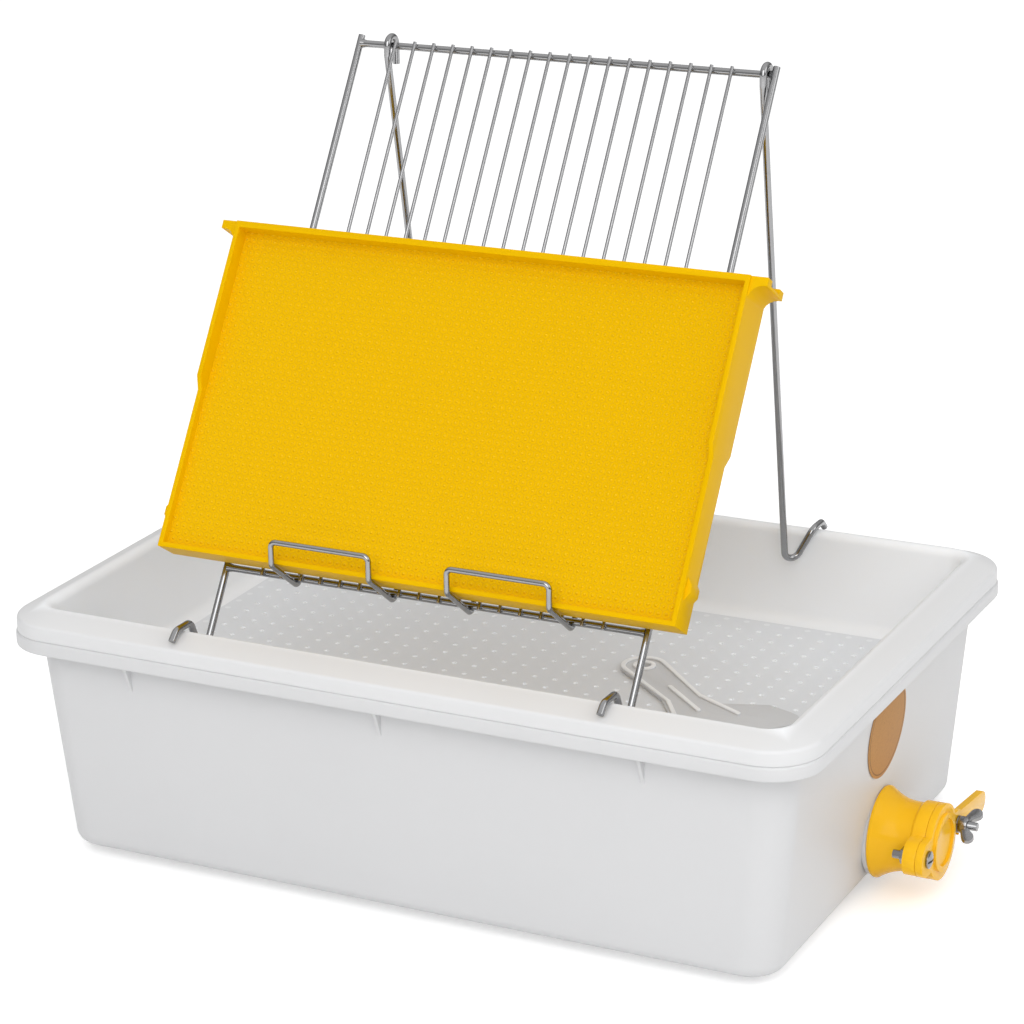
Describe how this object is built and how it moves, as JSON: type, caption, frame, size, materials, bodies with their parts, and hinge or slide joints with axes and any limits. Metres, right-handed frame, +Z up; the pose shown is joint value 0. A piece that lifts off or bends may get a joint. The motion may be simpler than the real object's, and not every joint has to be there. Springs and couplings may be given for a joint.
{
  "type": "uncapping tank",
  "caption": "Deep plastic honey tub with a drilled strainer tray, a slanted wire rack holding a comb frame, hooked rear legs, a swing-lid honey gate and a hand scraper.",
  "frame": {"origin": "middle of the base plinth's underside", "axes": "+X along the tub towards the honey gate, +Y towards the rear legs, +Z up"},
  "size_m": [0.6346, 0.405, 0.5471],
  "materials": {
    "white_plastic": "satin moulded",
    "tray_plastic": "satin moulded",
    "scraper_plastic": "satin moulded",
    "comb_plastic": "moulded cells",
    "gate_plastic": "gloss moulded",
    "kraft_label": "plain printed paper",
    "black_rubber": "matt",
    "bright_steel": "bright drawn wire",
    "fastener_steel": "zinc plated"
  },
  "bodies": {
    "tank": {"tub": "white_plastic", "round_label": "kraft_label", "gate_gasket": "black_rubber", "gate_body": "gate_plastic", "gate_lock_nut": "gate_plastic", "gate_lid_seal": "black_rubber", "gate_pivot_screw": "fastener_steel", "gate_pivot_nut": "fastener_steel", "gate_clamp_bolt": "fastener_steel", "gate_clamp_washer": "fastener_steel"},
    "strainer": {"strainer_tray": "tray_plastic"},
    "rack": {"rack_side_rod_left": "bright_steel", "rack_side_rod_right": "bright_steel", "rack_top_rod": "bright_steel", "rack_ledge_rod": "bright_steel", "rack_rest_bars": "bright_steel", "frame_clip_left": "bright_steel", "frame_clip_right": "bright_steel"},
    "left_leg": {"rear_leg_left": "bright_steel"},
    "right_leg": {"rear_leg_right": "bright_steel"},
    "comb": {"comb_frame": "comb_plastic"},
    "scraper_body": {"scraper": "scraper_plastic"},
    "lid": {"gate_lid": "gate_plastic"},
    "wing_nut": {"gate_wing_nut": "fastener_steel"}
  },
  "joints": [
    {"name": "strainer_lift", "type": "slide", "parent": "tank", "child": "strainer", "axis": [0, 0, 1], "range_m": [0, 0.3]},
    {"name": "rack_lift", "type": "slide", "parent": "strainer", "child": "rack", "axis": [0, 0, 1], "range_m": [0, 0.5]},
    {"name": "rear_leg_left_fold", "type": "hinge", "parent": "rack", "child": "left_leg", "pos_m": [0, 0.09071, 0.53829], "axis": [-1, 0, 0], "range_deg": [0, 30]},
    {"name": "rear_leg_right_fold", "type": "hinge", "parent": "rack", "child": "right_leg", "pos_m": [0, 0.09071, 0.53829], "axis": [-1, 0, 0], "range_deg": [0, 30]},
    {"name": "comb_frame_lift", "type": "slide", "parent": "rack", "child": "comb", "axis": [0, 0, 1], "range_m": [0, 0.3]},
    {"name": "scraper_lift", "type": "slide", "parent": "strainer", "child": "scraper_body", "axis": [0.5, 0, 0.866], "range_m": [0, 0.3]},
    {"name": "gate_lid_swing", "type": "hinge", "parent": "tank", "child": "lid", "pos_m": [0.31728, -0.024, 0.04], "axis": [1, 0, 0], "range_deg": [0, 100]},
    {"name": "wing_nut_turn", "type": "hinge", "parent": "tank", "child": "wing_nut", "pos_m": [0.32458, 0.036, 0.0415], "axis": [1, 0, 0], "continuous": true}
  ],
  "couplings": [
    {"joint": "rear_leg_left_fold", "follows": "rack_lift", "rad_per_m": 1},
    {"joint": "rear_leg_right_fold", "follows": "rack_lift", "rad_per_m": 1}
  ]
}
